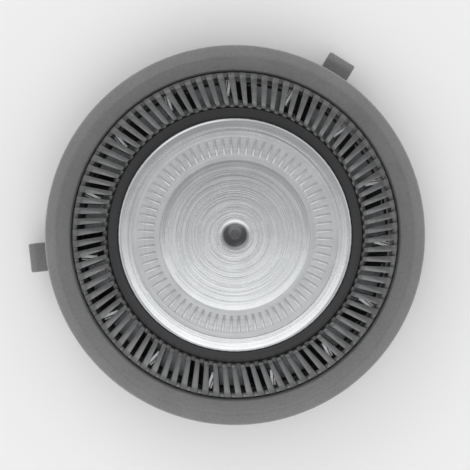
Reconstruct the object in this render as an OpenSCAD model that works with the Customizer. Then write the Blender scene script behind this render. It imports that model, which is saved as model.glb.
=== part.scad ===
// Rotary shaver head: a slotted steel guard in a dark frame, a cutter that spins behind it,
// and a bayonet ring that holds both in. Sizes are in millimetres. The head stands face up on
// its retaining ring, with the cutter's axis on Z and the table at z = 0.

/* [Head] */
// Height from the table to the shaving face
head_h = 8.6; // [8.4:0.1:10]
// Clearance between pieces that are fitted and stay put
seat_gap = 0.05; // [0.03:0.01:0.08]
// Clearance between pieces that turn past each other
turn_gap = 0.08; // [0.05:0.01:0.12]

/* [Guard] */
// Outer diameter of the guard's wall
guard_d = 21.6; // [21:0.2:26]
// Height of the guard from its flange to the shaving face
guard_h = 5; // [4.8:0.1:5.6]
// Thickness of the guard's sheet steel
guard_wall = 0.3; // [0.2:0.05:0.35]
// Width of the raised shaving track
track_w = 2.3; // [2.1:0.1:3]
// Depth of the middle recess below the shaving face
recess_depth = 1; // [0.8:0.1:1.3]
// Rounding of the track's outer shoulder
outer_round = 0.55; // [0.3:0.05:0.8]
// Rounding of the track's inner shoulder
inner_round = 0.4; // [0.2:0.05:0.6]
// How far the flange stands out from the wall
flange_w = 0.75; // [0.5:0.05:1]
// Number of hair slots
slot_count = 90; // [60:2:96]
// Width of a hair slot
slot_w = 0.3; // [0.2:0.02:0.36]
// Depth of a hair slot down the shoulders
slot_depth = 0.8; // [0.6:0.05:0.9]
// Slant of a hair slot away from the radius
slot_slant = 9; // [0:1:15]

/* [Centre disc] */
// Width of the groove between the disc and the track
disc_groove = 0.7; // [0.4:0.1:1.2]
// Thickness of the disc at its rim
disc_t = 0.9; // [0.75:0.05:1.1]
// Width of the disc's raised rim
disc_rim_w = 1; // [0.6:0.05:1.2]
// Width of the sunk band inside the rim
disc_band_w = 1.8; // [1.2:0.1:2.4]
// Depth of the sunk band
disc_band_depth = 0.08; // [0.05:0.01:0.12]
// How far the middle of the disc swells up
disc_swell = 0.1; // [0:0.02:0.16]
// Diameter of the dimple in the middle
dimple_d = 1.9; // [1.2:0.1:2.6]
// Depth of the dimple
dimple_depth = 0.16; // [0.08:0.02:0.2]

/* [Bearing plug] */
// Diameter of the stem that carries the disc
stem_d = 3; // [2.4:0.1:4]
// How far the stem reaches into the disc
stem_grip = 0.45; // [0.3:0.05:0.5]
// Diameter of the plug's flange under the guard
plug_flange_d = 9.6; // [8:0.2:11]
// Thickness of the plug's flange
plug_flange_t = 0.6; // [0.4:0.1:0.8]
// Length of the plug's boss below its flange
plug_boss_h = 1.3; // [1:0.1:1.5]
// Wall of the plug's boss
plug_boss_wall = 1.2; // [0.8:0.1:1.6]
// Radial clearance of the centre pin in its bearing
bearing_gap = 0.05; // [0.02:0.01:0.1]

/* [Frame] */
// How far the guard stands up out of the frame
frame_reveal = 1.3; // [1:0.1:1.8]
// Wall of the frame's skirt
frame_wall = 1.4; // [1.2:0.05:1.8]
// How far the seat is turned down from the skirt
seat_step = 0.2; // [0.15:0.05:0.3]
// Height of the seat's shoulder above the lugs
seat_rise = 0.15; // [0.1:0.05:0.3]
// Width of the flat land round the guard
land_w = 1.1; // [0.7:0.1:1.3]
// How far the crown falls from the land to its outer edge
crown_drop = 0.6; // [0.3:0.1:0.9]
// Rounding of the crown's outer edge
crown_round = 0.5; // [0.3:0.1:0.6]
// Width of a locating lug
lug_w = 2; // [1.6:0.1:3]
// How far a lug stands out from the frame
lug_reach = 1.3; // [0.8:0.1:1.6]
// Height of a lug
lug_h = 1.5; // [1.1:0.1:1.6]
// Height of a lug above the frame's lower edge
lug_rise = 0.4; // [0.2:0.1:0.6]
// Angle between the two lugs
lug_spread = 128; // [120:1:136]
// Depth of the keying notches in the guard's flange
key_depth = 0.4; // [0.3:0.05:0.45]

/* [Retaining ring] */
// Thickness of the ring's grip flange
grip_t = 1; // [0.8:0.1:1.2]
// Number of grip notches round the flange
grip_count = 36; // [24:2:44]
// Radius of a grip notch
grip_notch_r = 0.5; // [0.3:0.05:0.6]
// Wall of the ring's sleeve
sleeve_wall = 1.2; // [0.9:0.1:1.4]
// Width of a bayonet tab along the rim
tab_w = 3; // [2.4:0.1:4]
// Height of a bayonet tab
tab_h = 0.7; // [0.5:0.05:0.8]
// Height of the catch lip that a tab locks behind
catch_h = 0.75; // [0.6:0.05:0.9]
// Turn from locked to free, in degrees
unlock_turn = 18; // [16:1:24]
// Width of a finger that keeps the cutter in
finger_w = 2.4; // [1.8:0.1:3]
// Thickness of a finger
finger_t = 1.1; // [0.8:0.1:1.3]
// How far a finger reaches under the carrier's rim
finger_lap = 1.2; // [0.8:0.1:1.4]
// Clearance between the fingers and the cutter
finger_gap = 0.15; // [0.1:0.05:0.3]

/* [Blades and lifters] */
// Number of blades, each with its lifter
blade_count = 15; // [11:1:16]
// Forward lean of the blades in degrees
blade_lean = 24; // [15:1:28]
// Thickness of the blade ring's sheet
blade_t = 0.35; // [0.25:0.05:0.4]
// Length of a blade's foot along the rim
foot_l = 1.5; // [1:0.1:1.7]
// Clearance between the blades and the guard's walls
blade_gap = 0.2; // [0.1:0.05:0.25]
// Clearance between the blade tips and the guard's underside
tip_gap = 0.05; // [0.03:0.01:0.1]
// Angle of the ground relief behind a cutting edge
relief_angle = 30; // [15:1:40]
// How far the blade ring's plate stops short of the blades
plate_gap = 0.4; // [0.3:0.05:0.5]
// Thickness of the lifter ring's spring sheet
lifter_t = 0.14; // [0.1:0.02:0.18]
// Clearance between a lifter and its blade
lifter_gap = 0.05; // [0.03:0.01:0.08]
// How far a lifter's tip stays below its blade's
lifter_drop = 0.14; // [0.08:0.02:0.24]
// Length of a lifter's foot along the rim
lifter_foot_l = 0.9; // [0.7:0.1:1.1]
// Width of the spring neck of a lifter
lifter_neck_w = 0.6; // [0.4:0.1:0.7]

/* [Cutter carrier] */
// How far the carrier's upper face stands above the guard's flange
carrier_rise = 0.6; // [0.4:0.1:0.7]
// Thickness of the carrier's rim and spokes
carrier_t = 1; // [0.8:0.1:1.2]
// Length of the free neck between the carrier's rim and the blade ring's edge
rim_inset = 0.6; // [0.4:0.1:0.8]
// Width of the carrier's rim
rim_w = 1.7; // [1.5:0.1:1.9]
// Number of spokes, each with a rivet at its end
spoke_count = 5; // [3:1:6]
// Width of a spoke
spoke_w = 1.5; // [1.1:0.1:1.9]
// How far a spoke's faces lie inside the rim's
spoke_sink = 0.1; // [0.05:0.05:0.2]
// Diameter of the hub
hub_d = 7; // [6.6:0.1:7.6]
// How far the hub stands above the carrier's upper face
hub_boss_h = 0.5; // [0.3:0.1:0.6]
// Diameter of a rivet's shank
rivet_d = 0.8; // [0.6:0.1:0.9]
// Diameter of a rivet's head
rivet_head_d = 1.25; // [1.1:0.05:1.4]
// Height of a rivet's head
rivet_head_h = 0.3; // [0.2:0.05:0.4]

/* [Drive coupling] */
// Height of the coupling's lower face above the table
coupling_recess = 0.7; // [0.5:0.1:1]
// Diameter of the coupling's body
coupling_d = 5; // [4.8:0.1:5.4]
// Diameter of the collar under the hub
collar_d = 6.2; // [5.8:0.1:6.5]
// Thickness of the collar
collar_t = 0.5; // [0.4:0.1:0.7]
// Diameter of the socket's round bore
socket_d = 3.1; // [2.9:0.1:3.3]
// Depth of the socket
socket_depth = 2.6; // [2:0.1:2.8]
// Diameter of each of the three keyways
keyway_d = 0.7; // [0.5:0.05:0.75]
// Depth of the lead-in at the socket's mouth
lead_in = 0.3; // [0.2:0.05:0.4]
// Diameter of the centre pin
pin_d = 2.2; // [1.8:0.1:2.4]
// How deep the centre pin is pressed in
pin_press = 0.8; // [0.5:0.1:0.9]

/* [Hidden] */
$fn = 96;
// Flats round the small holes and notches
small_fn = 32;
// How far a cutting shape runs past what it cuts
past = 0.4;
// How far fused shapes reach into each other
fuse = 0.2;
// Flats that stand for a rounding in a turned outline
round_steps = 3;
// Flats across the disc's swell
swell_steps = 4;
// Bevel that breaks a moulded edge
edge_break = 0.25;

// Guard, from the shaving face downwards
face_z = head_h;
flange_z = face_z - guard_h;
shoulder_z = flange_z + guard_wall;
web_z = face_z - recess_depth;
web_low_z = web_z - guard_wall;
track_roof_z = face_z - guard_wall;
guard_r = guard_d / 2;
recess_r = guard_r - track_w;
flange_r = guard_r + flange_w;

// Frame, from the guard outwards
frame_bore_r = guard_r + 2 * seat_gap;
skirt_bore_r = flange_r + seat_gap;
head_r = skirt_bore_r + frame_wall;
crown_z = face_z - frame_reveal;
frame_low_z = grip_t + seat_gap;
lug_z = frame_low_z + lug_rise;
seat_r = head_r - seat_step;
seat_low_z = lug_z + lug_h + seat_rise;
key_w = lug_w / 2;
key_r = flange_r - key_depth;

// Retaining ring, from the frame inwards
sleeve_r = skirt_bore_r - turn_gap;
ring_bore_r = sleeve_r - sleeve_wall;
sleeve_top_z = flange_z - turn_gap;
window_z = frame_low_z + catch_h;
window_h = tab_h + 2 * seat_gap;
tab_count = 3;
tab_first = 90;
finger_count = 3;
finger_first = 30;

// Cutter, from the guard's track inwards and downwards
blade_in_r = recess_r + guard_wall + blade_gap;
blade_out_r = guard_r - guard_wall - blade_gap;
plate_r = blade_in_r - plate_gap;
carrier_r = plate_r - rim_inset;
rim_in_r = carrier_r - rim_w;
rivet_r = (carrier_r + rim_in_r) / 2;
rivet_hole_d = rivet_d + 2 * seat_gap;
carrier_top_z = flange_z + carrier_rise;
carrier_low_z = carrier_top_z - carrier_t;
blade_z = carrier_top_z + lifter_t;
plate_top_z = blade_z + blade_t;
tip_z = track_roof_z - tip_gap;
spoke_first = 90;
finger_top_z = carrier_low_z - finger_gap;
finger_tip_r = carrier_r - finger_lap;
rivet_low_z = carrier_low_z + rivet_head_h;

// Drive coupling and centre pin, from the table upwards
hub_low_z = coupling_recess + collar_t;
hub_top_z = carrier_top_z + hub_boss_h;
pin_low_z = hub_top_z - pin_press;

// Bearing plug and disc, from the guard's web outwards
stem_r = stem_d / 2;
disc_r = recess_r - disc_groove;
disc_top_z = web_z + disc_t;
plug_flange_z = web_low_z - plug_flange_t;
plug_low_z = plug_flange_z - plug_boss_h;
bearing_r = pin_d / 2 + bearing_gap;
bearing_top_z = web_low_z;
pin_top_z = bearing_top_z - finger_gap - tip_gap;

// Angle in degrees that a width takes up at a radius
function arc_angle(width, radius) = 2 * asin(width / 2 / radius);

// Points of an arc in flats, from one angle to another
function arc(x, y, radius, from, to) = [
    for (i = [0 : round_steps])
        let (a = from + (to - from) * i / round_steps)
        [x + radius * cos(a), y + radius * sin(a)]
];

// Angle at which a line to a point leaves an arc smoothly, with the point seen from the arc's centre
function leaving_angle(x, y, radius) = atan2(y, x) - acos(radius / norm([x, y]));

// Sideways shift of a leaning face after a rise
function lean(rise) = rise * tan(blade_lean);

// A plain ring between two radii and two heights
module ring(r_in, r_out, z_low, z_high) {
    rotate_extrude() translate([r_in, z_low]) square([r_out - r_in, z_high - z_low]);
}

// A stretch of ring, centred on an angle
module ring_sector(r_in, r_out, z_low, z_high, middle, sweep) {
    rotate([0, 0, middle - sweep / 2])
        rotate_extrude(angle = sweep)
            translate([r_in, z_low]) square([r_out - r_in, z_high - z_low]);
}

// A prism along the radius, from an outline across it
module radial_prism(outline, r_in, r_out) {
    translate([r_in, 0, 0]) rotate([90, 0, 90]) linear_extrude(r_out - r_in) polygon(outline);
}

// A plate that stands in the plane of the axis, from an outline of radius and height
module upright_plate(outline, thickness) {
    rotate([90, 0, 0])
        translate([0, 0, -thickness / 2]) linear_extrude(thickness) polygon(outline);
}

// Copies the children evenly round the axis
module around(count, first = 0) {
    for (i = [0 : count - 1]) rotate([0, 0, first + i * 360 / count]) children();
}

// Copies the children to the two lugs' places, one each side of +Y
module at_lugs() {
    for (side = [-1, 1]) rotate([0, 0, 90 + side * lug_spread / 2]) children();
}

// The guard's section: flange, wall, track and sunk web
module guard_section() {
    bevel = blade_gap / 2;
    track_in_r = recess_r + guard_wall;
    track_out_r = guard_r - guard_wall;
    polygon(concat(
        [[flange_r, flange_z], [flange_r, shoulder_z], [guard_r, shoulder_z]],
        arc(guard_r - outer_round, face_z - outer_round, outer_round, 0, 90),
        arc(recess_r + inner_round, face_z - inner_round, inner_round, 90, 180),
        [[recess_r, web_z], [stem_r + seat_gap, web_z], [stem_r + seat_gap, web_low_z]],
        [[track_in_r, web_low_z], [track_in_r, track_roof_z - bevel]],
        [[track_in_r + bevel, track_roof_z], [track_out_r - bevel, track_roof_z]],
        [[track_out_r, track_roof_z - bevel], [track_out_r, flange_z]]
    ));
}

// Cutting shape of one hair slot, turned about the middle of the track
module hair_slot() {
    length = track_w + 2 * past;
    translate([recess_r + track_w / 2, 0, face_z - slot_depth])
        rotate([0, 0, slot_slant])
            translate([-length / 2, -slot_w / 2, 0])
                cube([length, slot_w, slot_depth + past]);
}

// Deep-drawn steel guard with its ring of hair slots and two keying notches in the flange
module guard() {
    color([0.40, 0.41, 0.41])
    difference() {
        rotate_extrude() guard_section();
        around(slot_count) hair_slot();
        at_lugs() ring_sector(key_r, flange_r + past, flange_z - past, shoulder_z + past,
            0, arc_angle(key_w + 2 * seat_gap, key_r));
    }
}

// Silver disc over the middle of the guard: raised rim, sunk band, swelling field and dimple
module centre_disc() {
    rim_round = 0.3;
    rim_in_r = disc_r - disc_rim_w;
    field_r = rim_in_r - disc_band_w;
    band_z = disc_top_z - disc_band_depth;
    field_z = disc_top_z - disc_band_depth / 2;
    socket_top_z = web_z + stem_grip + seat_gap;
    dimple_r = dimple_d / 2;
    function field(r) = field_z + disc_swell * (1 - pow(r / field_r, 2));
    color([0.76, 0.77, 0.78])
    rotate_extrude()
        polygon(concat(
            [[stem_r + seat_gap, web_z], [disc_r, web_z]],
            arc(disc_r - rim_round, disc_top_z - rim_round, rim_round, 0, 90),
            [[rim_in_r + disc_band_depth, disc_top_z], [rim_in_r, band_z], [field_r, band_z]],
            [for (i = [0 : swell_steps])
                let (r = field_r + (dimple_r - field_r) * i / swell_steps) [r, field(r)]],
            [[dimple_r / 2, field(dimple_r) - dimple_depth], [0, field(dimple_r) - dimple_depth]],
            [[0, socket_top_z], [stem_r + seat_gap, socket_top_z]]
        ));
}

// Moulded plug that holds the disc from below and gives the cutter its centre bearing
module bearing_plug() {
    boss_r = bearing_r + plug_boss_wall;
    color([0.88, 0.87, 0.83])
    rotate_extrude()
        polygon([
            [bearing_r, plug_low_z], [boss_r, plug_low_z], [boss_r, plug_flange_z],
            [plug_flange_d / 2, plug_flange_z], [plug_flange_d / 2, web_low_z],
            [stem_r, web_low_z], [stem_r, web_z + stem_grip], [0, web_z + stem_grip],
            [0, bearing_top_z], [bearing_r, bearing_top_z]
        ]);
}

// The frame's section: skirt, seat for the holder, falling crown, flat land and inner shoulder
module frame_section() {
    land_r = frame_bore_r + land_w;
    round_x = seat_r - crown_round;
    round_z = crown_z - crown_drop - crown_round;
    round_end = leaving_angle(land_r - round_x, crown_z - round_z, crown_round);
    polygon(concat(
        [[skirt_bore_r, frame_low_z], [head_r, frame_low_z]],
        [[head_r, seat_low_z], [seat_r, seat_low_z]],
        arc(round_x, round_z, crown_round, 0, round_end),
        [[land_r, crown_z], [frame_bore_r + edge_break, crown_z]],
        [[frame_bore_r, crown_z - edge_break], [frame_bore_r, shoulder_z]],
        [[skirt_bore_r, shoulder_z]]
    ));
}

// A locating lug with a sloping top
module lug() {
    slope = lug_h / 3;
    tip_r = head_r + lug_reach;
    top_z = lug_z + lug_h;
    upright_plate([
        [head_r - fuse, lug_z], [tip_r, lug_z], [tip_r, top_z - slope],
        [tip_r - slope, top_z], [head_r - fuse, top_z]
    ], lug_w);
}

// An L-shaped bayonet window: an entry leg from below and a run to the locked place
module bayonet_window() {
    r_in = skirt_bore_r - past;
    r_out = head_r + past;
    window_angle = arc_angle(tab_w + 4 * turn_gap, skirt_bore_r);
    ring_sector(r_in, r_out, frame_low_z - past, window_z + window_h, -unlock_turn, window_angle);
    ring_sector(r_in, r_out, window_z, window_z + window_h, -unlock_turn / 2,
        unlock_turn + window_angle);
}

// Dark frame round the guard, with two lugs outside and two keys for the guard's notches inside
module frame() {
    color([0.40, 0.40, 0.41])
    difference() {
        union() {
            rotate_extrude() frame_section();
            at_lugs() lug();
            at_lugs() ring_sector(key_r + seat_gap, skirt_bore_r + fuse,
                flange_z + seat_gap, shoulder_z + fuse, 0, arc_angle(key_w, key_r));
        }
        around(tab_count, tab_first) bayonet_window();
    }
}

// Turning ring with grip notches, bayonet tabs and the fingers that keep the cutter in
module retaining_ring() {
    tab_z = window_z + seat_gap;
    tab_angle = arc_angle(tab_w, skirt_bore_r);
    color([0.23, 0.23, 0.24])
    union() {
        difference() {
            rotate_extrude()
                polygon([
                    [ring_bore_r, 0], [head_r - edge_break, 0], [head_r, edge_break],
                    [head_r, grip_t], [sleeve_r, grip_t], [sleeve_r, sleeve_top_z],
                    [ring_bore_r, sleeve_top_z]
                ]);
            around(grip_count)
                translate([head_r + grip_notch_r / 2, 0, -past])
                    cylinder(r = grip_notch_r, h = grip_t + 2 * past, $fn = small_fn);
        }
        around(tab_count, tab_first)
            ring_sector(sleeve_r - fuse, head_r - turn_gap, tab_z, tab_z + tab_h, 0, tab_angle);
        around(finger_count, finger_first) finger();
    }
}

// A finger with a round end, reaching in under the carrier's rim
module finger() {
    round_r = finger_w / 2;
    reach = ring_bore_r + fuse - finger_tip_r - round_r;
    translate([finger_tip_r + round_r, 0, finger_top_z - finger_t]) {
        translate([0, -round_r, 0]) cube([reach, finger_w, finger_t]);
        cylinder(r = round_r, h = finger_t);
    }
}

// Moulded wheel that carries the steel rings: bored hub, spokes and a rim drilled for rivets
module cutter_carrier() {
    color([0.36, 0.38, 0.41])
    difference() {
        union() {
            ring(rim_in_r, carrier_r, carrier_low_z, carrier_top_z);
            translate([0, 0, hub_low_z]) cylinder(d = hub_d, h = hub_top_z - hub_low_z);
            around(spoke_count, spoke_first) spoke();
        }
        translate([0, 0, hub_low_z - past])
            cylinder(d = coupling_d + 2 * seat_gap, h = hub_top_z - hub_low_z + 2 * past);
        around(spoke_count, spoke_first)
            translate([rivet_r, 0, carrier_low_z - past]) {
                cylinder(d = rivet_hole_d, h = carrier_t + 2 * past, $fn = small_fn);
                cylinder(d = rivet_head_d + 2 * seat_gap, h = rivet_head_h + past, $fn = small_fn);
            }
    }
}

// A spoke, set just below the rim's upper face, with a gusset down to the hub's foot
module spoke() {
    inner_r = hub_d / 2 - fuse;
    outer_r = rim_in_r + fuse / 2;
    foot_z = hub_low_z + lead_in;
    spoke_low_z = carrier_low_z + spoke_sink;
    translate([inner_r, -spoke_w / 2, spoke_low_z])
        cube([outer_r - inner_r, spoke_w, carrier_t - 2 * spoke_sink]);
    upright_plate([
        [inner_r, foot_z], [hub_d / 2, foot_z], [rim_in_r - fuse, carrier_low_z],
        [rim_in_r - fuse, spoke_low_z + fuse], [inner_r, spoke_low_z + fuse]
    ], spoke_w / 2);
}

// Rivets through the blade ring, the lifter ring and the carrier's rim, headed at both ends
module rivets() {
    shank_r = rivet_d / 2;
    head_r_out = rivet_head_d / 2;
    top_z = plate_top_z + rivet_head_h;
    bevel = rivet_head_h / 2;
    color([0.78, 0.77, 0.74])
    around(spoke_count, spoke_first)
        translate([rivet_r, 0, 0])
            rotate_extrude($fn = small_fn)
                polygon([
                    [0, carrier_low_z], [head_r_out, carrier_low_z], [head_r_out, rivet_low_z],
                    [shank_r, rivet_low_z], [shank_r, plate_top_z], [head_r_out, plate_top_z],
                    [head_r_out, top_z - bevel], [head_r_out - bevel, top_z], [0, top_z]
                ]);
}

// Drive coupling in the hub: collar below, blind keyed socket for the spindle, pin hole on top
module drive_coupling() {
    socket_r = socket_d / 2;
    color([0.20, 0.21, 0.23])
    difference() {
        union() {
            translate([0, 0, coupling_recess]) cylinder(d = collar_d, h = collar_t);
            translate([0, 0, coupling_recess])
                cylinder(d = coupling_d, h = hub_top_z - coupling_recess);
        }
        translate([0, 0, coupling_recess - past])
            cylinder(r = socket_r, h = socket_depth + past);
        around(3, spoke_first)
            translate([socket_r, 0, coupling_recess - past])
                cylinder(d = keyway_d, h = socket_depth + past, $fn = small_fn);
        translate([0, 0, coupling_recess - lead_in])
            cylinder(r1 = socket_r + 2 * lead_in, r2 = socket_r, h = 2 * lead_in);
        translate([0, 0, pin_low_z])
            cylinder(r = pin_d / 2 + seat_gap, h = pin_press + past);
    }
}

// Steel pin that stands in the coupling and turns in the plug's bearing
module centre_pin() {
    pin_r = pin_d / 2;
    tip_bevel = pin_r / 4;
    color([0.80, 0.81, 0.82])
    rotate_extrude()
        polygon([
            [0, pin_low_z], [pin_r, pin_low_z], [pin_r, pin_top_z - tip_bevel],
            [pin_r - tip_bevel, pin_top_z], [0, pin_top_z]
        ]);
}

// Outline of a steel ring's flat part, with the children's feet and a hole for each rivet
module pierced_outline(r_out) {
    difference() {
        union() {
            circle(r = r_out);
            around(blade_count) children();
        }
        circle(r = rim_in_r);
        around(spoke_count, spoke_first)
            translate([rivet_r, 0]) circle(d = rivet_hole_d, $fn = small_fn);
    }
}

// A foot's outline between two sides, out to where its far corner meets the blades' circle
module foot_outline(from_r, side, other_side) {
    far_side = max(abs(side), abs(other_side));
    to_r = sqrt(pow(blade_out_r, 2) - pow(far_side, 2));
    translate([from_r, side]) square([to_r - from_r, other_side - side]);
}

// A leaning strip of sheet on the blades' circle, from its low back edge up to its ground tip
module leaning_strip(back_y, low_z, high_z, sheet_t) {
    thick = sheet_t / cos(blade_lean);
    land = thick / 2;
    relief_z = high_z - (thick - land) * tan(relief_angle);
    tip_y = back_y + thick + lean(high_z - low_z);
    out_x = sqrt(pow(blade_out_r, 2) - pow(tip_y, 2));
    radial_prism([
        [back_y, low_z], [back_y + thick, low_z], [tip_y, high_z], [tip_y - land, high_z],
        [back_y + lean(relief_z - low_z), relief_z]
    ], blade_in_r, out_x);
}

// Stamped steel ring whose blades are bent up and lean into the cut
module blade_ring() {
    root_z = blade_z + blade_t / 2;
    color([0.58, 0.59, 0.60])
    union() {
        translate([0, 0, blade_z])
            linear_extrude(blade_t)
                pierced_outline(plate_r)
                    foot_outline(plate_r - fuse, -foot_l, blade_t / cos(blade_lean));
        around(blade_count) leaning_strip(lean(blade_t / 2), root_z, tip_z, blade_t);
    }
}

// Thin spring ring with a lifter in front of each blade, on a narrow neck
module lifter_ring() {
    root_z = carrier_top_z + lifter_t / 2;
    foot_y = blade_t / cos(blade_lean) + lifter_gap - lean(lifter_t);
    neck_y = foot_y + (lifter_foot_l - lifter_neck_w) / 2;
    color([0.68, 0.67, 0.66])
    union() {
        translate([0, 0, carrier_top_z])
            linear_extrude(lifter_t)
                pierced_outline(carrier_r) {
                    translate([carrier_r - fuse, neck_y])
                        square([blade_in_r - carrier_r + 2 * fuse, lifter_neck_w]);
                    foot_outline(blade_in_r, foot_y, foot_y + lifter_foot_l);
                }
        around(blade_count)
            leaning_strip(foot_y + lean(lifter_t / 2), root_z, tip_z - lifter_drop, lifter_t);
    }
}

frame();
guard();
centre_disc();
bearing_plug();
retaining_ring();
cutter_carrier();
blade_ring();
lifter_ring();
rivets();
drive_coupling();
centre_pin();
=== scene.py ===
import math

import bmesh
import bpy
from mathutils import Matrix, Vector


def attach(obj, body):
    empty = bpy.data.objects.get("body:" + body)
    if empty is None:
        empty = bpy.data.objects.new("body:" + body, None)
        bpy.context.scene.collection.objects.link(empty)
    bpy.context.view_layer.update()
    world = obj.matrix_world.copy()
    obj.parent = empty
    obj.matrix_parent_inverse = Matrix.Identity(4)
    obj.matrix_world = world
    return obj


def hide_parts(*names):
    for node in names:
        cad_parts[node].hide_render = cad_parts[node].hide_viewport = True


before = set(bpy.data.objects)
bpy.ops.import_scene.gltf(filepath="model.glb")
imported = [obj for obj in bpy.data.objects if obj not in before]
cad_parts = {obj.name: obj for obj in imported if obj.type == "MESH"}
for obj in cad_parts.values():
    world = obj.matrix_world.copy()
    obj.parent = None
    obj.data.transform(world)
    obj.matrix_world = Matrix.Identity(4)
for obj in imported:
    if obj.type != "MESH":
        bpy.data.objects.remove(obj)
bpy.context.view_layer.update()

# Centre pin: a ground steel pin, pressed into the drive coupling, that turns in the plug's bearing
# and keeps the cutter on its axis. Its tip is chamfered so that it finds the bearing.
MM = 0.001
FULL_TURN = 2 * math.pi


def select(kind, test):
    """Selects, in edit mode, the verts, edges or faces whose middle, in millimetres, passes a test."""
    mode = {"verts": "VERT", "edges": "EDGE", "faces": "FACE"}[kind]
    bpy.ops.mesh.select_mode(type=mode)
    bpy.ops.mesh.select_all(action="DESELECT")
    data = bpy.context.object.data
    mesh = bmesh.from_edit_mesh(data)
    for part in getattr(mesh, kind):
        corners = [part] if kind == "verts" else part.verts
        middle = sum((v.co for v in corners), Vector()) / len(corners) / MM
        part.select_set(bool(test(middle, part)))
    mesh.select_flush_mode()
    bmesh.update_edit_mesh(data)


def outline(name, corners, rounded=()):
    """Draws corners of (x, z) one after another as a filled outline; rounded lists (corner, radius)."""
    bpy.ops.object.select_all(action="DESELECT")
    bpy.ops.mesh.primitive_plane_add(size=MM)
    piece = bpy.context.object
    piece.name = piece.data.name = name
    bpy.ops.object.mode_set(mode="EDIT")
    bpy.ops.mesh.select_mode(type="VERT")
    bpy.ops.mesh.merge(type="CENTER")
    here = (0, 0)
    for number, corner in enumerate(corners):
        step = ((corner[0] - here[0]) * MM, 0, (corner[1] - here[1]) * MM)
        if number:
            bpy.ops.mesh.extrude_vertices_move(TRANSFORM_OT_translate={"value": step})
        else:
            bpy.ops.transform.translate(value=step)
        here = corner
    bpy.ops.mesh.select_all(action="SELECT")
    bpy.ops.mesh.edge_face_add()
    for corner, radius in rounded:
        place = Vector((corner[0], 0, corner[1]))
        select("verts", lambda middle, v: (middle - place).length < 1e-3)
        bpy.ops.mesh.bevel(offset=radius * MM, segments=5, affect="VERTICES")
    return piece


def lathe(piece, steps=180):
    """Turns the outline that is being edited once round the axis and closes it."""
    bpy.ops.mesh.select_all(action="SELECT")
    bpy.ops.mesh.delete(type="ONLY_FACE")
    select("edges", lambda middle, e: all(abs(v.co.x) < 1e-7 for v in e.verts))
    bpy.ops.mesh.delete(type="EDGE")
    bpy.ops.mesh.select_all(action="SELECT")
    bpy.ops.mesh.spin(steps=steps, angle=FULL_TURN, center=(0, 0, 0), axis=(0, 0, 1))
    bpy.ops.mesh.select_all(action="SELECT")
    bpy.ops.mesh.remove_doubles(threshold=1e-7)
    bpy.ops.mesh.normals_make_consistent(inside=False)
    bpy.ops.object.mode_set(mode="OBJECT")
    return piece


def only(piece):
    """Selects one piece and makes it the active one."""
    bpy.ops.object.select_all(action="DESELECT")
    piece.select_set(True)
    bpy.context.view_layer.objects.active = piece


def finish(piece, material, sharp=35):
    """Gives a piece its material and shades it smooth up to an angle, its flats staying flat."""
    piece.data.materials.clear()
    piece.data.materials.append(material)
    only(piece)
    bpy.ops.object.shade_smooth_by_angle(angle=math.radians(sharp))
    flats = piece.modifiers.new("flats", "WEIGHTED_NORMAL")
    flats.keep_sharp = True
    bpy.ops.object.modifier_apply(modifier="flats")


class Wire:
    """A socket of a material's tree, on which arithmetic adds Math nodes."""

    def __init__(self, tree, socket=None):
        self.tree = tree
        self.socket = socket

    def node(self, kind, settings=None, sockets=None, out=0):
        """Adds a node: its settings first, then the values or wires of its sockets."""
        made = self.tree.nodes.new(kind)
        for key, value in (settings or {}).items():
            setattr(made, key, value)
        for key, value in (sockets or {}).items():
            if isinstance(value, Wire):
                self.tree.links.new(value.socket, made.inputs[key])
            else:
                made.inputs[key].default_value = value
        return Wire(self.tree, made.outputs[out])

    def math(self, operation, *values):
        return self.node("ShaderNodeMath", {"operation": operation}, dict(enumerate(values)))

    def __add__(self, other):
        return self.math("ADD", self, other)

    def __sub__(self, other):
        return self.math("SUBTRACT", self, other)

    def __mul__(self, other):
        return self.math("MULTIPLY", self, other)

    def __pow__(self, other):
        return self.math("POWER", self, other)

    def __rsub__(self, other):
        return self.math("SUBTRACT", other, self)

    __radd__ = __add__
    __rmul__ = __mul__

    def band(self, low, high, soft):
        """1 between two values, falling to 0 over a soft edge."""
        rise = self.step(low - soft, low + soft)
        return rise * (1 - self.step(high - soft, high + soft))

    def step(self, low, high):
        """Rises smoothly from 0 at low to 1 at high."""
        settings = {"interpolation_type": "SMOOTHSTEP"}
        sockets = {"Value": self, "From Min": low, "From Max": high}
        return self.node("ShaderNodeMapRange", settings, sockets)

    def mix(self, first, second):
        """A colour between two, by this value as the factor."""
        sockets = {0: self, 6: first, 7: second}
        return self.node("ShaderNodeMix", {"data_type": "RGBA"}, sockets, out=2)


class Place:
    """The place on a piece in millimetres: x, y, z, the radius, and the angle round the axis."""

    def __init__(self, wire):
        coordinates = wire.node("ShaderNodeTexCoord", out=3)
        scaled = {"operation": "SCALE"}
        self.point = wire.node("ShaderNodeVectorMath", scaled, {0: coordinates, "Scale": 1 / MM})
        parts = [wire.node("ShaderNodeSeparateXYZ", None, {0: self.point}, out=n) for n in range(3)]
        self.x, self.y, self.z = parts
        self.radius = (self.x * self.x + self.y * self.y) ** 0.5
        self.angle = wire.math("ARCTAN2", self.y, self.x)
        self.wire = wire

    def noise(self, scale, detail=3):
        """Cloudy noise with about so many clouds to the millimetre."""
        sockets = {"Vector": self.point, "Scale": scale, "Detail": detail, "Roughness": 0.55}
        return self.wire.node("ShaderNodeTexNoise", None, sockets).step(0.25, 0.75)

    def streaks(self, x, y, z):
        """Noise drawn out by its three scales, over any three wires or values."""
        vector = self.wire.node("ShaderNodeCombineXYZ", None, {0: x, 1: y, 2: z})
        sockets = {"Vector": vector, "Scale": 1.0, "Detail": 2}
        return self.wire.node("ShaderNodeTexNoise", None, sockets).step(0.25, 0.75)


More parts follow.
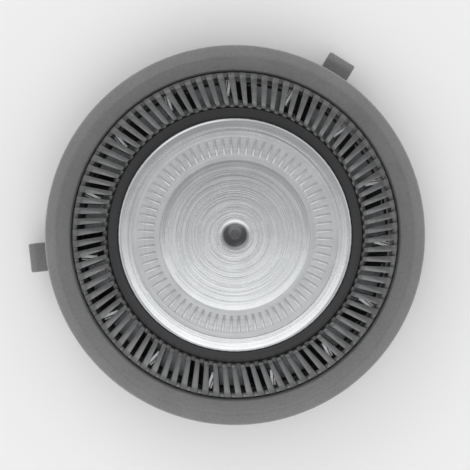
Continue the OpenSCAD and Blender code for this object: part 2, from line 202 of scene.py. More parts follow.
def material(name, **constants):
    """A new material: its shader, with what is the same all over set, and its wire and place."""
    made = bpy.data.materials.new(name)
    made.use_nodes = True
    shader = made.node_tree.nodes["Principled BSDF"]
    for key, value in constants.items():
        shader.inputs[key.replace("_", " ")].default_value = value
    wire = Wire(made.node_tree)
    return made, shader, wire, Place(wire)


def connect(shader, wire, colour, roughness, height, depth):
    """Links what changes over the surface; height is a bump of so many millimetres."""
    bump = wire.node("ShaderNodeBump", None, {"Distance": depth * MM, "Height": height})
    for key, value in (("Base Color", colour), ("Roughness", roughness), ("Normal", bump)):
        wire.tree.links.new(value.socket, shader.inputs[key])


PIN_R = 1.1
PIN_LOW = 3.9
PIN_TOP = 7.1
TIP_CHAMFER = 0.28
TIP_ROUND = 0.06
pin_corners = [
    (0, PIN_LOW), (PIN_R, PIN_LOW), (PIN_R, PIN_TOP - TIP_CHAMFER), (PIN_R - TIP_CHAMFER, PIN_TOP),
    (0, PIN_TOP),
]
pin_rounded = [(pin_corners[3], TIP_ROUND), (pin_corners[2], TIP_ROUND)]
pin = lathe(outline("pin", pin_corners, pin_rounded), steps=96)

ground_steel, shader, wire, at = material("ground_steel", Metallic=1.0)
rings = at.streaks(at.z * 30, at.angle * 0.4, 0)
connect(
    shader, wire,
    colour=at.noise(1.5).mix((0.58, 0.59, 0.60, 1), (0.68, 0.69, 0.70, 1)),
    roughness=rings * 0.14 + 0.16,
    height=rings, depth=0.002,
)
finish(pin, ground_steel)
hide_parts("centre_pin")
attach(pin, "cutter")

# Drive coupling: moulded in hard plastic and pressed into the carrier's hub from below. Its blind
# socket takes the shaver's drive spindle, and three keyways in its wall carry the turning force.
COUPLING_R = 2.5
COUPLING_LOW = 0.7
COUPLING_TOP = 4.7
COLLAR_R = 3.1
COLLAR_TOP = 1.2
SOCKET_R = 1.55
SOCKET_TOP = 3.3
LEAD_IN = 0.3
LEAD_IN_TOP = 1.0
PIN_HOLE_R = 1.15
KEYWAYS = 3
KEYWAY_R = 0.35
TO_Y = 90


def cut(piece, tool, operation="DIFFERENCE", own_overlaps=False):
    """Takes a tool's shape out of a piece, or adds it to the piece, and removes the tool."""
    bpy.ops.object.mode_set(mode="OBJECT")
    only(piece)
    change = piece.modifiers.new("cut", "BOOLEAN")
    change.object = tool
    change.operation = operation
    change.solver = "EXACT"
    change.use_self = own_overlaps
    bpy.ops.object.modifier_apply(modifier="cut")
    bpy.data.objects.remove(tool)


def repeat(tool, count, first=0.0):
    """Copies a tool evenly round the axis, the first one turned to an angle in degrees."""
    only(tool)
    tool.rotation_euler.z = math.radians(first)
    bpy.ops.object.transform_apply(location=False)
    bpy.ops.object.mode_set(mode="EDIT")
    bpy.ops.mesh.select_all(action="SELECT")
    if count > 1:
        angle = FULL_TURN * (count - 1) / count
        bpy.ops.mesh.spin(steps=count - 1, angle=angle, dupli=True, center=(0, 0, 0), axis=(0, 0, 1))
    bpy.ops.object.mode_set(mode="OBJECT")
    return tool


def rod(radius, low, high, middle_r=0.0, sides=32):
    """An upright rod to cut with, at a distance from the axis."""
    bpy.ops.object.select_all(action="DESELECT")
    bpy.ops.mesh.primitive_cylinder_add(
        vertices=sides, radius=radius * MM, depth=(high - low) * MM,
        location=(middle_r * MM, 0, (low + high) / 2 * MM),
    )
    bpy.ops.object.transform_apply()
    return bpy.context.object


def soften(piece, width, angle=35, segments=2):
    """Joins the flats that cuts have split, then rounds the edges sharper than an angle by a width."""
    bpy.ops.object.mode_set(mode="OBJECT")
    only(piece)
    bpy.ops.object.mode_set(mode="EDIT")
    bpy.ops.mesh.select_all(action="SELECT")
    bpy.ops.mesh.remove_doubles(threshold=0.005 * MM)
    bpy.ops.mesh.dissolve_limited(angle_limit=math.radians(0.3))
    bpy.ops.object.mode_set(mode="OBJECT")
    change = piece.modifiers.new("soften", "BEVEL")
    change.width = width * MM
    change.segments = segments
    change.limit_method = "ANGLE"
    change.angle_limit = math.radians(angle)
    change.miter_outer = "MITER_ARC"
    change.use_clamp_overlap = False
    bpy.ops.object.modifier_apply(modifier="soften")


coupling = lathe(outline("coupling", [
    (0, SOCKET_TOP), (SOCKET_R, SOCKET_TOP), (SOCKET_R, LEAD_IN_TOP),
    (SOCKET_R + LEAD_IN, COUPLING_LOW), (COLLAR_R, COUPLING_LOW), (COLLAR_R, COLLAR_TOP),
    (COUPLING_R, COLLAR_TOP), (COUPLING_R, COUPLING_TOP), (PIN_HOLE_R, COUPLING_TOP),
    (PIN_HOLE_R, PIN_LOW), (0, PIN_LOW),
]), steps=128)
keyway = rod(KEYWAY_R, 0.3, SOCKET_TOP, SOCKET_R)
cut(coupling, repeat(keyway, KEYWAYS, TO_Y), own_overlaps=True)
soften(coupling, width=0.03)

hard_plastic, shader, wire, at = material("hard_plastic", IOR=1.5)
grain = at.noise(9)
connect(
    shader, wire,
    colour=at.noise(1.2).mix((0.026, 0.028, 0.033, 1), (0.042, 0.044, 0.050, 1)),
    roughness=grain * 0.2 + 0.34,
    height=grain + at.streaks(at.radius * 14, at.angle * 0.3, at.z * 3) * 0.4, depth=0.008,
)
finish(coupling, hard_plastic)
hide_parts("drive_coupling")
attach(coupling, "cutter")

# Cutter carrier: a moulded wheel between the drive and the steel rings. The hub is pressed round the
# coupling, and the five spokes end at the rim where the rivets go through. Gussets stiffen them.
HUB_R = 3.5
HUB_BORE_R = 2.55
HUB_LOW = 1.2
HUB_ROUND = 0.15
RIM_IN_R = 6.3
CARRIER_R = 8.0
CARRIER_LOW = 3.2
CARRIER_TOP = 4.2
SPOKES = 5
SPOKE_W = 1.5
SPOKE_IN_R = 3.3
GUSSET_W = 0.75
GUSSET_LOW = 1.5
GUSSET_OUT_R = 6.1
GUSSET_TOP = 3.5
RIVET_PLACE_R = 7.15
RIVET_HOLE_R = 0.45
POCKET_R = 0.675
POCKET_TOP = 3.5


def push(piece, low, high, turn=0):
    """Pushes the outline that is being edited along Y from low to high, then turns it round the axis."""
    bpy.ops.mesh.select_all(action="SELECT")
    bpy.ops.transform.translate(value=(0, low * MM, 0))
    bpy.ops.mesh.extrude_region_move(TRANSFORM_OT_translate={"value": (0, (high - low) * MM, 0)})
    bpy.ops.mesh.select_all(action="SELECT")
    bpy.ops.mesh.normals_make_consistent(inside=False)
    bpy.ops.object.mode_set(mode="OBJECT")
    return repeat(piece, 1, turn)


def block(low, high, turn=0):
    """A block between two corners, turned upright round its own middle."""
    bpy.ops.object.select_all(action="DESELECT")
    middle = [(a + b) / 2 * MM for a, b in zip(low, high)]
    size = [(b - a) * MM for a, b in zip(low, high)]
    rotation = (0, 0, math.radians(turn))
    bpy.ops.mesh.primitive_cube_add(size=1, location=middle, rotation=rotation, scale=size)
    bpy.ops.object.transform_apply()
    return bpy.context.object


carrier = lathe(outline("carrier", [
    (RIM_IN_R, CARRIER_LOW), (CARRIER_R, CARRIER_LOW), (CARRIER_R, CARRIER_TOP), (RIM_IN_R, CARRIER_TOP),
]))
hub = lathe(outline("hub", [
    (HUB_BORE_R, HUB_LOW), (HUB_R, HUB_LOW), (HUB_R, COUPLING_TOP), (HUB_BORE_R, COUPLING_TOP),
], [((HUB_R, COUPLING_TOP), HUB_ROUND)]), steps=128)
cut(carrier, hub, "UNION")
spoke = block((SPOKE_IN_R, -SPOKE_W / 2, 3.3), (6.4, SPOKE_W / 2, 4.1))
gusset = push(outline("gusset", [
    (SPOKE_IN_R, GUSSET_LOW), (HUB_R, GUSSET_LOW), (GUSSET_OUT_R, CARRIER_LOW),
    (GUSSET_OUT_R, GUSSET_TOP), (SPOKE_IN_R, GUSSET_TOP),
]), -GUSSET_W / 2, GUSSET_W / 2)
cut(spoke, gusset, "UNION")
cut(carrier, repeat(spoke, SPOKES, TO_Y), "UNION")
pocket = rod(POCKET_R, 2.8, POCKET_TOP, RIVET_PLACE_R)
cut(pocket, rod(RIVET_HOLE_R, 3.0, 4.6, RIVET_PLACE_R), "UNION")
cut(carrier, repeat(pocket, SPOKES, TO_Y))
soften(carrier, width=0.07)

carrier_plastic, shader, wire, at = material("carrier_plastic", IOR=1.48)
grain = at.noise(7)
flow = at.streaks(at.radius * 1.2, at.angle * 2, at.z)
connect(
    shader, wire,
    colour=flow.mix((0.095, 0.108, 0.130, 1), (0.125, 0.140, 0.165, 1)),
    roughness=grain * 0.18 + 0.36,
    height=grain, depth=0.010,
)
finish(carrier, carrier_plastic)
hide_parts("cutter_carrier")
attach(carrier, "cutter")

# Lifter ring: thin rolled spring steel, stamped with fifteen narrow necks. Each neck ends in a foot
# whose bent-up strip stands close in front of a blade and gives way a little when a hair is lifted.
BLADES = 15
BLADES_IN_R = 9.0
LEAN_ANGLE = math.radians(24)
LEAN = math.tan(LEAN_ANGLE)
STRIP_T = 0.14
STRIP_FRONT = STRIP_T / math.cos(LEAN_ANGLE)
STRIP_OUT_R = 10.04
STRIP_GRIND = 0.044
LIFTER_BACK = 0.371
LIFTER_TIP = 8.11
FOOT_TOE = 1.27
HEEL_ROUND = 0.12
BEND_ROUND = 0.10
NECK_IN_R = 7.8
NECK_OUT_R = 9.2
NECK_BACK = 0.521
NECK_FRONT = 1.121


def along(back, from_z, to_z):
    """Where a leaning face that starts at back has come to at a height."""
    return back + (to_z - from_z) * LEAN


lifters = lathe(outline("lifters", [
    (RIM_IN_R, CARRIER_TOP), (CARRIER_R, CARRIER_TOP), (CARRIER_R, CARRIER_TOP + STRIP_T),
    (RIM_IN_R, CARRIER_TOP + STRIP_T),
]))
strip_top = along(LIFTER_BACK, CARRIER_TOP, LIFTER_TIP)
strip_relief = along(LIFTER_BACK, CARRIER_TOP, LIFTER_TIP - STRIP_GRIND)
strip_bend = along(LIFTER_BACK + STRIP_FRONT, CARRIER_TOP, CARRIER_TOP + STRIP_T)
strip = push(outline("strip", [
    (LIFTER_BACK, CARRIER_TOP), (FOOT_TOE, CARRIER_TOP), (FOOT_TOE, CARRIER_TOP + STRIP_T),
    (strip_bend, CARRIER_TOP + STRIP_T), (strip_top + STRIP_FRONT, LIFTER_TIP),
    (strip_top + STRIP_FRONT / 2, LIFTER_TIP), (strip_relief, LIFTER_TIP - STRIP_GRIND),
], [
    ((LIFTER_BACK, CARRIER_TOP), HEEL_ROUND), ((strip_bend, CARRIER_TOP + STRIP_T), BEND_ROUND),
]), -STRIP_OUT_R, -BLADES_IN_R, TO_Y)
neck = block((NECK_IN_R, NECK_BACK, CARRIER_TOP), (NECK_OUT_R, NECK_FRONT, CARRIER_TOP + STRIP_T))
cut(strip, neck, "UNION")
cut(lifters, repeat(strip, BLADES), "UNION", own_overlaps=True)
cut(lifters, repeat(rod(RIVET_HOLE_R, 4.0, 4.6, RIVET_PLACE_R), SPOKES, TO_Y))
soften(lifters, width=0.02)

spring_steel, shader, wire, at = material("spring_steel", Metallic=1.0)
rolled = at.streaks(at.x * 16, at.y * 1.2, at.z * 1.2)
connect(
    shader, wire,
    colour=at.noise(0.9).mix((0.36, 0.355, 0.34, 1), (0.46, 0.455, 0.44, 1)),
    roughness=rolled * 0.16 + 0.30,
    height=rolled, depth=0.003,
)
finish(lifters, spring_steel)
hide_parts("lifter_ring")
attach(lifters, "cutter")

# Blade ring: stamped from hardened strip, with fifteen blades bent up from their feet to lean into
# the cut. Their tips are ground flat together, and relieved behind the edge, which leaves them bright.
PLATE_R = 8.6
FOOT_END_R = 10.25
SHEET_LOW = 4.34
SHEET_TOP = 4.69
BLADE_TIP = 8.25
BLADE_T = 0.35
BLADE_FRONT = BLADE_T / math.cos(LEAN_ANGLE)
BLADE_OUT_R = 10.07
BLADE_GRIND = 0.11
BLADE_BEND = 0.2
FOOT_BACK = -1.5
FOOT_FRONT = 0.25
blades = lathe(outline("blades", [
    (RIM_IN_R, SHEET_LOW), (FOOT_END_R, SHEET_LOW), (FOOT_END_R, SHEET_TOP), (RIM_IN_R, SHEET_TOP),
]))
waste = lathe(outline("waste", [(PLATE_R, 4.1), (11, 4.1), (11, 4.9), (PLATE_R, 4.9)]))
foot = block((8, FOOT_BACK, 4.0), (11.5, FOOT_FRONT, 5.0))
cut(waste, repeat(foot, BLADES))
cut(blades, waste)
bpy.ops.object.mode_set(mode="EDIT")
bpy.ops.mesh.select_all(action="SELECT")
bpy.ops.mesh.remove_doubles(threshold=1e-6)
bpy.ops.object.mode_set(mode="OBJECT")
blade_low = SHEET_LOW + 0.005
blade_root = along(0, SHEET_LOW, blade_low)
blade_back = along(0, SHEET_LOW, BLADE_TIP)
blade_relief = along(0, SHEET_LOW, BLADE_TIP - BLADE_GRIND)
blade = push(outline("blade", [
    (blade_root, blade_low), (blade_root + BLADE_FRONT, blade_low),
    (blade_back + BLADE_FRONT, BLADE_TIP), (blade_back + BLADE_FRONT / 2, BLADE_TIP),
    (blade_relief, BLADE_TIP - BLADE_GRIND),
], [((blade_root + BLADE_FRONT, blade_low), BLADE_BEND)]), -BLADE_OUT_R, -BLADES_IN_R, TO_Y)
cut(blades, repeat(blade, BLADES), "UNION")
cut(blades, repeat(rod(RIVET_HOLE_R, 4.0, 5.0, RIVET_PLACE_R), SPOKES, TO_Y))
soften(blades, width=0.02)

blade_steel, shader, wire, at = material("blade_steel", Metallic=1.0)
grinding = at.streaks(at.radius * 26, at.angle * 6, at.z * 2)
ground_tip = at.z.step(BLADE_TIP - 0.5, BLADE_TIP - 0.05)
connect(
    shader, wire,
    colour=(ground_tip * 0.8 + at.noise(1.1) * 0.2).mix((0.24, 0.245, 0.255, 1), (0.36, 0.37, 0.38, 1)),
    roughness=grinding * 0.16 + 0.30 - ground_tip * 0.06,
    height=grinding, depth=0.004,
)
finish(blades, blade_steel, sharp=18)
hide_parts("blade_ring")
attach(blades, "cutter")

# Rivets: five soft steel rivets through the blade ring, the lifter ring and the carrier's rim. Their
# lower heads lie in pockets, and the upper ends were formed to low domes by a spinning punch.
RIVET_R = 0.4
RIVET_HEAD_R = 0.625
DOME_EDGE = 4.82
DOME_TOP = 4.99
DOME_TOP_R = 0.42
rivet_corners = [
    (0, CARRIER_LOW), (RIVET_HEAD_R, CARRIER_LOW), (RIVET_HEAD_R, POCKET_TOP),
    (RIVET_R, POCKET_TOP), (RIVET_R, SHEET_TOP), (RIVET_HEAD_R, SHEET_TOP),
    (RIVET_HEAD_R, DOME_EDGE), (DOME_TOP_R, DOME_TOP), (0, DOME_TOP),
]
rivets = lathe(outline("rivet_set", rivet_corners, [
    (rivet_corners[1], 0.06), (rivet_corners[6], 0.08), (rivet_corners[7], 0.12),
]), steps=40)
only(rivets)
rivets.location.x = RIVET_PLACE_R * MM
bpy.ops.object.transform_apply()
repeat(rivets, SPOKES, TO_Y)

rivet_steel, shader, wire, at = material("rivet_steel", Metallic=1.0)
dents = at.noise(6, detail=4)
connect(
    shader, wire,
    colour=at.noise(2.5).mix((0.50, 0.49, 0.46, 1), (0.62, 0.61, 0.58, 1)),
    roughness=dents * 0.25 + 0.20,
    height=dents, depth=0.012,
)
finish(rivets, rivet_steel)
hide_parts("rivets")
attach(rivets, "cutter")

# Guard: deep-drawn from thin steel sheet into a raised track round a sunk middle, with ninety slanted
# hair slots sawn through its face and shoulders. The face is ground in circles, then darkened.
GUARD_R = 10.8
GUARD_BORE_R = 1.55
TRACK_IN_R = 8.5
FACE = 8.6
WEB = 7.6
FLANGE_R = 11.55
FLANGE_LOW = 3.6
SHEET = 0.3
SLOTS = 90
SLOT_W = 0.3
SLOT_LOW = 7.8
SLOT_SLANT = 9
NOTCH_W = 1.1
LUG_ANGLE = 64
guard_corners = [
    (FLANGE_R, FLANGE_LOW), (FLANGE_R, FLANGE_LOW + SHEET), (GUARD_R, FLANGE_LOW + SHEET),
    (GUARD_R, FACE),
    (TRACK_IN_R, FACE), (TRACK_IN_R, WEB), (GUARD_BORE_R, WEB), (GUARD_BORE_R, WEB - SHEET),
    (TRACK_IN_R + SHEET, WEB - SHEET), (TRACK_IN_R + SHEET, FACE - SHEET),
    (GUARD_R - SHEET, FACE - SHEET), (GUARD_R - SHEET, FLANGE_LOW),
]
guard = lathe(outline("slotted_guard", guard_corners, [
    (guard_corners[2], 0.08), (guard_corners[3], 0.55), (guard_corners[4], 0.40),
    (guard_corners[5], 0.08), (guard_corners[8], 0.20), (guard_corners[9], 0.12),
    (guard_corners[10], 0.25), (guard_corners[11], 0.12),
]))
slot = block((8.1, -SLOT_W / 2, SLOT_LOW), (11.2, SLOT_W / 2, 9.2), turn=SLOT_SLANT)
cut(guard, repeat(slot, SLOTS))
notch = block((11.15, -NOTCH_W / 2, 3.4), (11.8, NOTCH_W / 2, 4.2))
for side in (-1, 1):
    only(notch)
    bpy.ops.object.duplicate()
    cut(guard, repeat(bpy.context.object, 1, TO_Y + side * LUG_ANGLE))
bpy.data.objects.remove(notch)
soften(guard, width=0.018, angle=40)

dark_steel, shader, wire, at = material("dark_steel", Metallic=1.0)
circles = at.streaks(at.radius * 22, at.angle * 0.8, at.z * 2)
drawn = at.streaks(at.angle * 60, at.z * 0.6, at.radius * 0.5)
upward = at.z.step(FACE - 0.6, FACE - 0.1)
# Painted shade: the groove beside the disc and the track's inner wall down to the web are painted
# near-black, as shade in the recess.
painted_recess_shade = at.radius.band(7, TRACK_IN_R + 0.05, 0.05) * (1 - at.z.step(WEB + 0.2, FACE - 0.2))
connect(
    shader, wire,
    colour=painted_recess_shade.mix(
        (at.noise(0.5) * 0.6 + circles * 0.4).mix((0.115, 0.116, 0.118, 1), (0.19, 0.191, 0.193, 1)),
        (0.06, 0.06, 0.062, 1)),
    roughness=circles * 0.16 + 0.34 - upward * 0.06,
    height=circles * upward + drawn * (1 - upward) * 0.6, depth=0.005,
)
finish(guard, dark_steel)
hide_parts("guard")
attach(guard, "head")

# Bearing plug: moulded in natural low-friction plastic and pressed into the guard's middle from
# below. Its boss is the bearing of the centre pin, and its stem carries the silver disc.
STEM_R = 1.5
STEM_TOP = 8.05
PLUG_FLANGE_R = 4.8
PLUG_FLANGE_LOW = 6.7
PLUG_FLANGE_TOP = 7.3
BOSS_R = 2.35
BOSS_LOW = 5.4
BEARING_R = 1.15
plug_corners = [
    (0, STEM_TOP), (STEM_R, STEM_TOP), (STEM_R, PLUG_FLANGE_TOP), (PLUG_FLANGE_R, PLUG_FLANGE_TOP),
    (PLUG_FLANGE_R, PLUG_FLANGE_LOW), (BOSS_R, PLUG_FLANGE_LOW), (BOSS_R, BOSS_LOW),
    (BEARING_R, BOSS_LOW), (BEARING_R, PLUG_FLANGE_TOP), (0, PLUG_FLANGE_TOP),
]
plug = lathe(outline("plug", plug_corners, [
    (plug_corners[1], 0.15), (plug_corners[4], 0.15), (plug_corners[5], 0.15), (plug_corners[6], 0.2),
    (plug_corners[7], 0.12),
]), steps=128)

plug_plastic, shader, wire, at = material("plug_plastic", IOR=1.49, Subsurface_Weight=0.1)
grain = at.noise(8)
connect(
    shader, wire,
    colour=at.noise(0.8).mix((0.66, 0.64, 0.57, 1), (0.76, 0.74, 0.68, 1)),
    roughness=grain * 0.16 + 0.32,
    height=grain, depth=0.008,
)
finish(plug, plug_plastic)
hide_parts("bearing_plug")
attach(plug, "head")

# Centre disc: turned from aluminium and snapped on the plug's stem. Inside its polished rim, painted
# lighter as a highlight, is a sunk band with a ring of fine pressed ribs, then a field that swells a
# little, with a dimple in the middle.
DISC_R = 7.8
DISC_TOP = 8.5
BAND = 8.42
BAND_OUT_R = 6.8
STEM_SOCKET_R = 1.55
STEM_SOCKET_TOP = 8.1
FIELD_R = 5.0
FIELD_EDGE = 8.46
SWELL = 0.1
DIMPLE_R = 0.95
DIMPLE_FLOOR_R = 0.45
DIMPLE_DEPTH = 0.16
RIBS = 72
RIB_W = 0.18
RIB_IN_R = 5.35
RIB_OUT_R = 6.45


def swell(r):
    """Height of the swelling field at a radius."""
    return FIELD_EDGE + SWELL * (1 - (r / FIELD_R) ** 2)


dimple_floor = swell(DIMPLE_R) - DIMPLE_DEPTH
disc_corners = [
    (0, STEM_SOCKET_TOP), (STEM_SOCKET_R, STEM_SOCKET_TOP), (STEM_SOCKET_R, WEB), (DISC_R, WEB),
    (DISC_R, DISC_TOP), (BAND_OUT_R + 0.08, DISC_TOP), (BAND_OUT_R, BAND), (FIELD_R, BAND),
]
disc_corners += [(r, swell(r)) for r in (FIELD_R, 4.5, 4.0, 3.5, 3.0, 2.5, 2.0, 1.5, DIMPLE_R)]
disc_corners += [(DIMPLE_FLOOR_R, dimple_floor), (0, dimple_floor)]
disc = lathe(outline("silver_disc", disc_corners, [
    ((DISC_R, DISC_TOP), 0.3), ((FIELD_R, swell(FIELD_R)), 0.03), (disc_corners[-3], 0.08),
    (disc_corners[-2], 0.15),
]))
rib = block((RIB_IN_R, -RIB_W / 2, BAND - 0.05), (RIB_OUT_R, RIB_W / 2, BAND + 0.045))
soften(rib, width=0.03)
ribs = repeat(rib, RIBS)
only(disc)
ribs.select_set(True)
bpy.ops.object.join()

turned_aluminium, shader, wire, at = material("turned_aluminium", Metallic=1.0)
fine = at.streaks(at.radius * 16, at.angle * 0.5, 0)
broad = at.streaks(at.radius * 4.5, at.angle * 0.3, 3)
in_band = at.radius.band(FIELD_R, BAND_OUT_R, 0.05)
# Painted shade: the dimple in the middle is painted near-black, as shade in the hollow.
painted_dimple_shade = 1 - at.radius.step(DIMPLE_R - 0.25, DIMPLE_R)
# The polished rim: its lower roughness is the real polish, and its lighter colour is a painted
# highlight.
rim_polish_and_highlight = at.radius.step(BAND_OUT_R, BAND_OUT_R + 0.1)
tone = fine * 0.35 + broad * 0.35 + at.noise(0.6) * 0.3 - in_band * 0.25 + rim_polish_and_highlight * 0.15
silver = tone.mix((0.43, 0.44, 0.45, 1), (0.60, 0.61, 0.62, 1))
connect(
    shader, wire,
    colour=painted_dimple_shade.mix(silver, (0.10, 0.10, 0.105, 1)),
    roughness=fine * 0.10 + broad * 0.08 + 0.17 + in_band * 0.12 - rim_polish_and_highlight * 0.04,
    height=fine * 0.6 + broad, depth=0.004,
)
finish(disc, turned_aluminium)
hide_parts("centre_disc")
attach(disc, "head")

# Frame: the dark ring, moulded in plastic, that the guard sits in. The shaver's holder comes down on
# the seat above the two lugs, and windows in the skirt take the retaining ring's bayonet tabs.
HEAD_R = 13.0
SEAT_R = 12.8
SEAT_LOW = 3.1
SEAT_TOP = 6.39
FRAME_LOW = 1.05
CROWN = 7.3
CROWN_R = 12.0
FRAME_BORE_R = 10.9
SKIRT_BORE_R = 11.6
SHOULDER = 3.9
WINDOW_LOW = 1.8
WINDOW_TOP = 2.6
WINDOW_SWEEP = 16.4
UNLOCK_TURN = 18
TABS = 3
frame_corners = [
    (SKIRT_BORE_R, FRAME_LOW), (HEAD_R, FRAME_LOW), (HEAD_R, SEAT_LOW), (SEAT_R, SEAT_LOW),
    (SEAT_R, SEAT_TOP), (CROWN_R, CROWN), (FRAME_BORE_R, CROWN), (FRAME_BORE_R, SHOULDER),
    (SKIRT_BORE_R, SHOULDER),
]
surround = lathe(outline("frame_ring", frame_corners, [
    (frame_corners[0], 0.12), (frame_corners[1], 0.15), (frame_corners[2], 0.06),
    (frame_corners[4], 0.22),
    (frame_corners[5], 0.18), (frame_corners[6], 0.22),
]))


def sector(r_in, r_out, low, high, middle, sweep):
    """A stretch of ring, centred on an angle in degrees."""
    piece = outline("sector", [(r_in, low), (r_out, low), (r_out, high), (r_in, high)])
    bpy.ops.mesh.select_all(action="SELECT")
    steps = max(2, round(sweep / 2))
    bpy.ops.mesh.spin(steps=steps, angle=math.radians(sweep), center=(0, 0, 0), axis=(0, 0, 1))
    bpy.ops.mesh.select_all(action="SELECT")
    bpy.ops.mesh.remove_doubles(threshold=1e-7)
    bpy.ops.mesh.normals_make_consistent(inside=False)
    bpy.ops.object.mode_set(mode="OBJECT")
    far = max(piece.data.vertices, key=lambda v: abs(math.atan2(v.co.y, v.co.x)))
    start = -sweep / 2 if far.co.y > 0 else sweep / 2
    return repeat(piece, 1, middle + start)


lug_corners = [(12.7, 1.45), (14.3, 1.45), (14.3, 2.45), (13.8, 2.95), (12.7, 2.95)]
lug = push(outline("lug", lug_corners, [
    (lug_corners[1], 0.12), (lug_corners[2], 0.2), (lug_corners[3], 0.2),
]), -1.0, 1.0)
soften(lug, width=0.12, angle=50, segments=3)
key = sector(11.2, 11.8, 3.65, 4.1, 0, 5.1)
for side in (-1, 1):
    for shape in (lug, key):
        only(shape)
        bpy.ops.object.duplicate()
        cut(surround, repeat(bpy.context.object, 1, TO_Y + side * LUG_ANGLE), "UNION")
bpy.data.objects.remove(lug)
bpy.data.objects.remove(key)
window = sector(11.2, 13.4, 0.65, WINDOW_TOP, -UNLOCK_TURN, WINDOW_SWEEP)
run = sector(11.2, 13.4, WINDOW_LOW, WINDOW_TOP, -UNLOCK_TURN / 2, UNLOCK_TURN + WINDOW_SWEEP)
cut(window, run, "UNION")
cut(surround, repeat(window, TABS, TO_Y))
soften(surround, width=0.05)

satin_plastic, shader, wire, at = material(
    "satin_plastic", IOR=1.5, Coat_Weight=0.4, Coat_Roughness=0.16
)
grain = at.noise(10)
tone = at.noise(0.5) * 0.5 + at.noise(4) * 0.5
connect(
    shader, wire,
    colour=tone.mix((0.118, 0.118, 0.120, 1), (0.150, 0.150, 0.152, 1)),
    roughness=grain * 0.16 + 0.24,
    height=grain, depth=0.009,
)
finish(surround, satin_plastic)
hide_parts("frame")
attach(surround, "head")

# Retaining ring: moulded in black plastic with a notched grip. Its three tabs turn into the frame's
# windows and lock there, and its three round-ended fingers keep the cutter in when the head is out.
RING_BORE_R = 10.32
SLEEVE_R = 11.52
SLEEVE_TOP = 3.52
GRIP_TOP = 1.0
GRIP_ROUND = 0.4
GRIPS = 36
GRIP_NOTCH_R = 0.5
TAB_R = 12.92
TAB_LOW = 1.85
TAB_TOP = 2.55
TAB_SWEEP = 14.8
FINGERS = 3
FINGER_R = 1.2
FINGER_IN_R = 8.0
FINGER_LOW = 1.95
FINGER_TOP = 3.05
ring_corners = [
    (RING_BORE_R, 0), (HEAD_R, 0), (HEAD_R, GRIP_TOP), (SLEEVE_R, GRIP_TOP), (SLEEVE_R, SLEEVE_TOP),
    (RING_BORE_R, SLEEVE_TOP),
]
ring_rounded = [(ring_corners[1], GRIP_ROUND), (ring_corners[2], 0.1)]
retainer = lathe(outline("retainer", ring_corners, ring_rounded))
grip_notch = rod(GRIP_NOTCH_R, -0.4, 1.4, HEAD_R + GRIP_NOTCH_R / 2, sides=24)
cut(retainer, repeat(grip_notch, GRIPS))
tab = sector(11.3, TAB_R, TAB_LOW, TAB_TOP, 0, TAB_SWEEP)
cut(retainer, repeat(tab, TABS, TO_Y), "UNION")
finger = block((FINGER_IN_R, -FINGER_R, FINGER_LOW), (10.5, FINGER_R, FINGER_TOP))
cut(finger, rod(FINGER_R, FINGER_LOW, FINGER_TOP, FINGER_IN_R, sides=48), "UNION")
cut(retainer, repeat(finger, FINGERS, 30), "UNION")
soften(retainer, width=0.07)

black_plastic, shader, wire, at = material("black_plastic", IOR=1.5)
grain = at.noise(9)
connect(
    shader, wire,
    colour=at.noise(0.7).mix((0.036, 0.037, 0.039, 1), (0.052, 0.053, 0.056, 1)),
    roughness=grain * 0.22 + 0.34,
    height=grain, depth=0.012,
)
finish(retainer, black_plastic)
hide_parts("retaining_ring")
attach(retainer, "ring")

# Floor: a plain pale sheet a hair's breadth under the head. From below it lets the camera see
# through, and lamps shine through it, so that the underside is lit as well.
FLOOR_GAP = 0.02
bpy.ops.object.select_all(action="DESELECT")
bpy.ops.mesh.primitive_plane_add(size=3, location=(0, 0, -FLOOR_GAP * MM))
bpy.ops.object.transform_apply()
floor = bpy.context.object
floor.name = "floor"
pale_sheet, shader, wire, _ = material("pale_sheet", Roughness=0.9, Specular_IOR_Level=0.1)
shader.inputs["Base Color"].default_value = (0.88, 0.88, 0.88, 1)
from_below = wire.node("ShaderNodeNewGeometry", out="Backfacing")
to_lamp = wire.node("ShaderNodeLightPath", out="Is Shadow Ray")
clear = wire.node("ShaderNodeBsdfTransparent")
through = wire.math("MAXIMUM", from_below, to_lamp)
sheet_shader = Wire(wire.tree, shader.outputs[0])
surface = wire.node("ShaderNodeMixShader", None, {0: through, 1: sheet_shader, 2: clear})
wire.tree.links.new(surface.socket, wire.tree.nodes["Material Output"].inputs["Surface"])
floor.data.materials.append(pale_sheet)

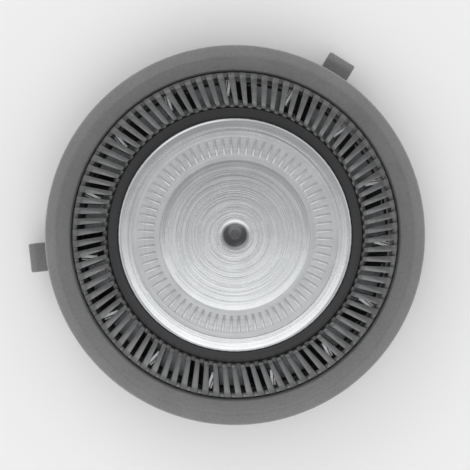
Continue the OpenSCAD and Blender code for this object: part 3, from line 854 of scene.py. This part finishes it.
# Light: a pale room, white to the camera and darker overhead in reflections, a large soft lamp on the
# photograph's lower side that whitens that half of the disc, a small one across from it, and one
# under the floor for the underside.
PHOTO_UP = math.radians(57.5)
room = bpy.data.worlds.new("pale_room")
bpy.context.scene.world = room
room.use_nodes = True
wire = Wire(room.node_tree)
direction = wire.node("ShaderNodeTexCoord", out="Generated")
overhead = wire.node("ShaderNodeSeparateXYZ", None, {0: direction}, out="Z").step(0.35, 0.97)
seen, mirrored, passed = [
    wire.node("ShaderNodeLightPath", out=f"Is {kind} Ray")
    for kind in ("Camera", "Glossy", "Transmission")
]
strength = seen + passed + mirrored * (1 - overhead * 0.5) + (1 - seen - passed - mirrored) * 0.80
background = room.node_tree.nodes["Background"]
background.inputs["Color"].default_value = (1, 1, 1, 1)
wire.tree.links.new(strength.socket, background.inputs["Strength"])


def lamp(name, toward, tilt, distance, size, radiance):
    """A soft square lamp: its angle from the photograph's up, and its tilt from straight overhead."""
    angle = PHOTO_UP + math.radians(toward)
    tilt = math.radians(tilt)
    place = Vector((math.cos(angle) * math.sin(tilt), math.sin(angle) * math.sin(tilt), math.cos(tilt)))
    light = bpy.data.lights.new(name, "AREA")
    light.size = size
    light.energy = radiance * math.pi * size ** 2
    holder = bpy.data.objects.new(name, light)
    bpy.context.scene.collection.objects.link(holder)
    holder.location = place * distance
    holder.rotation_euler = place.to_track_quat("Z", "Y").to_euler()


lamp("key_lamp", 180, 22, 0.65, 0.46, 1.35)
lamp("fill_lamp", 25, 50, 0.65, 0.36, 0.8)
lamp("under_lamp", 120, 155, 0.65, 0.50, 3.2)

# Camera: straight down on the shaving face from well above, rolled as the photograph shows the head,
# with the gap between the lugs to the upper left.
CAMERA_HEIGHT = 0.138
lens = bpy.data.cameras.new("camera")
lens.lens = 150
lens.sensor_width = 36
camera = bpy.data.objects.new("camera", lens)
bpy.context.scene.collection.objects.link(camera)
camera.location = (0, 0, CAMERA_HEIGHT)
camera.rotation_euler = (0, 0, PHOTO_UP - math.pi / 2)
bpy.context.scene.camera = camera
bpy.context.scene.view_settings.view_transform = "Standard"
